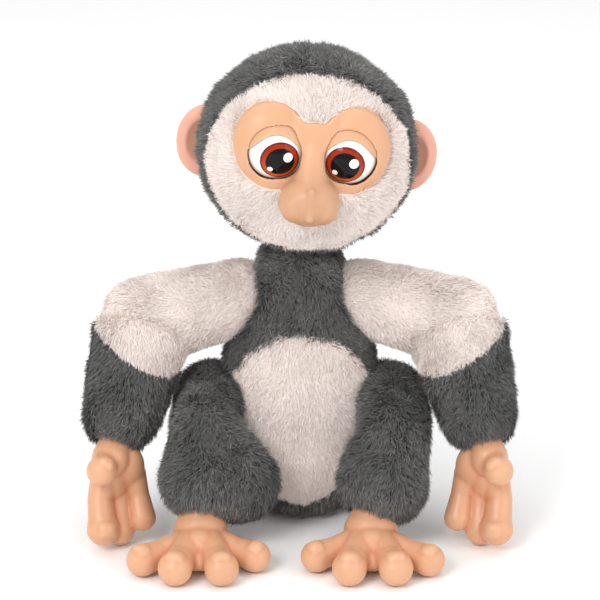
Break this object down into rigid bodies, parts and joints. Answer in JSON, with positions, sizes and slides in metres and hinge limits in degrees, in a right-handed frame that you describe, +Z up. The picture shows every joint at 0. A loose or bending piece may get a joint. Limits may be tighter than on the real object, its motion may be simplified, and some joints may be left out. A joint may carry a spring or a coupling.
{
  "type": "stuffed monkey",
  "caption": "Seated plush monkey toy with a vinyl face, hands and feet, blinking eyelids, a turning head and posable arms and legs.",
  "frame": {"origin": "on the floor under the middle of the seat, at the torso's flat underside", "axes": "+Z up, the face looks along -Y, +X is the toy's own left"},
  "size_m": [0.2264, 0.1555, 0.2426],
  "materials": {
    "grey_plush": "long-pile heathered charcoal plush",
    "white_plush": "short dense warm-white plush",
    "vinyl": "soft satin peach vinyl",
    "eyelid": "satin peach plastic",
    "eye_white": "glossy warm white",
    "iris": "glossy domed lens, red-brown ring and black pupil",
    "pale_plastic": "moulded, unpainted",
    "dark_plastic": "moulded, satin",
    "board": "green solder mask",
    "steel": "plain"
  },
  "bodies": {
    "torso": {"torso_plush": "grey_plush", "belly_panel": "white_plush", "chassis_front": "pale_plastic", "chassis_rear": "pale_plastic", "battery_door": "pale_plastic", "door_screw": "steel", "battery_1": "dark_plastic", "battery_2": "dark_plastic", "battery_3": "dark_plastic", "circuit_board": "board", "speaker": "dark_plastic", "neck_socket": "pale_plastic", "neck_collar": "pale_plastic", "shoulder_disc_right": "pale_plastic", "shoulder_disc_left": "pale_plastic", "hip_disc_right": "pale_plastic", "hip_disc_left": "pale_plastic"},
    "flap": {"back_flap": "grey_plush"},
    "switch": {"power_switch": "dark_plastic"},
    "neck": {"neck_turntable": "pale_plastic", "nod_pin": "steel"},
    "head": {"nod_bracket": "pale_plastic", "head_plush": "grey_plush", "face_ruff": "white_plush", "face_mask": "vinyl", "ear_right": "vinyl", "ear_left": "vinyl", "skull_front": "pale_plastic", "skull_rear": "pale_plastic", "skull_screw_right": "steel", "skull_screw_left": "steel", "eyeball_right": "eye_white", "eyeball_left": "eye_white", "iris_right": "iris", "iris_left": "iris", "eye_bridge": "pale_plastic", "blink_gearbox": "dark_plastic"},
    "eyelids": {"lid_right": "eyelid", "lid_left": "eyelid", "lid_axle": "steel", "lid_gear": "dark_plastic"},
    "pinion": {"blink_pinion": "dark_plastic"},
    "upper_arm_right": {"upper_arm_plush_right": "white_plush"},
    "forearm_right": {"forearm_plush_right": "grey_plush", "wrist_ring_right": "dark_plastic"},
    "hand_right": {"hand_right": "vinyl"},
    "leg_right": {"leg_plush_right": "grey_plush", "ankle_ring_right": "dark_plastic"},
    "foot_right": {"foot_right": "vinyl"},
    "upper_arm_left": {"upper_arm_plush_left": "white_plush"},
    "forearm_left": {"forearm_plush_left": "grey_plush", "wrist_ring_left": "dark_plastic"},
    "hand_left": {"hand_left": "vinyl"},
    "leg_left": {"leg_plush_left": "grey_plush", "ankle_ring_left": "dark_plastic"},
    "foot_left": {"foot_left": "vinyl"}
  },
  "joints": [
    {"name": "neck_turn", "type": "hinge", "parent": "torso", "child": "neck", "pos_m": [0, -0.002, 0.15], "axis": [0.0872, 0, 0.9962], "range_deg": [-40, 40]},
    {"name": "neck_nod", "type": "hinge", "parent": "neck", "child": "head", "pos_m": [0, -0.002, 0.15], "axis": [0.9952, 0.0436, -0.0871], "range_deg": [-12, 15]},
    {"name": "blink", "type": "hinge", "parent": "head", "child": "eyelids", "pos_m": [0.00566, -0.03497, 0.19819], "axis": [0.9952, 0.0436, -0.0871], "range_deg": [-8, 80]},
    {"name": "pinion_spin", "type": "hinge", "parent": "head", "child": "pinion", "pos_m": [0.00514, -0.02298, 0.19824], "axis": [0.9952, 0.0436, -0.0871], "range_deg": [-160, 16]},
    {"name": "flap_lift", "type": "hinge", "parent": "torso", "child": "flap", "pos_m": [0, 0.0336, 0.1042], "axis": [1, 0, 0], "range_deg": [0, 100]},
    {"name": "power_slide", "type": "slide", "parent": "torso", "child": "switch", "axis": [1, 0, 0], "range_m": [-0.0012, 0.0012]},
    {"name": "shoulder_right", "type": "hinge", "parent": "torso", "child": "upper_arm_right", "pos_m": [-0.038, 0, 0.112], "axis": [1, 0, 0], "range_deg": [-60, 15]},
    {"name": "elbow_right", "type": "hinge", "parent": "upper_arm_right", "child": "forearm_right", "pos_m": [-0.078, -0.01, 0.102], "axis": [1, 0, 0], "range_deg": [-42, 21]},
    {"name": "wrist_right", "type": "hinge", "parent": "forearm_right", "child": "hand_right", "pos_m": [-0.095, -0.048, 0.052], "axis": [-0.2613, -0.5841, -0.7685], "range_deg": [-28, 28]},
    {"name": "hip_right", "type": "hinge", "parent": "torso", "child": "leg_right", "pos_m": [-0.045, -0.008, 0.06], "axis": [1, 0, 0], "range_deg": [-14, 8]},
    {"name": "ankle_right", "type": "hinge", "parent": "leg_right", "child": "foot_right", "pos_m": [-0.049, -0.068, 0.025], "axis": [-0.0522, -0.5479, -0.8349], "range_deg": [-30, 30]},
    {"name": "shoulder_left", "type": "hinge", "parent": "torso", "child": "upper_arm_left", "pos_m": [0.038, 0, 0.112], "axis": [1, 0, 0], "range_deg": [-60, 15]},
    {"name": "elbow_left", "type": "hinge", "parent": "upper_arm_left", "child": "forearm_left", "pos_m": [0.078, -0.01, 0.102], "axis": [1, 0, 0], "range_deg": [-42, 21]},
    {"name": "wrist_left", "type": "hinge", "parent": "forearm_left", "child": "hand_left", "pos_m": [0.095, -0.048, 0.052], "axis": [0.2613, -0.5841, -0.7685], "range_deg": [-28, 28]},
    {"name": "hip_left", "type": "hinge", "parent": "torso", "child": "leg_left", "pos_m": [0.045, -0.008, 0.06], "axis": [1, 0, 0], "range_deg": [-14, 8]},
    {"name": "ankle_left", "type": "hinge", "parent": "leg_left", "child": "foot_left", "pos_m": [0.035, -0.068, 0.025], "axis": [-0.3216, -0.5195, -0.7916], "range_deg": [-30, 30]}
  ],
  "couplings": [
    {"joint": "pinion_spin", "follows": "blink", "ratio": -2}
  ]
}
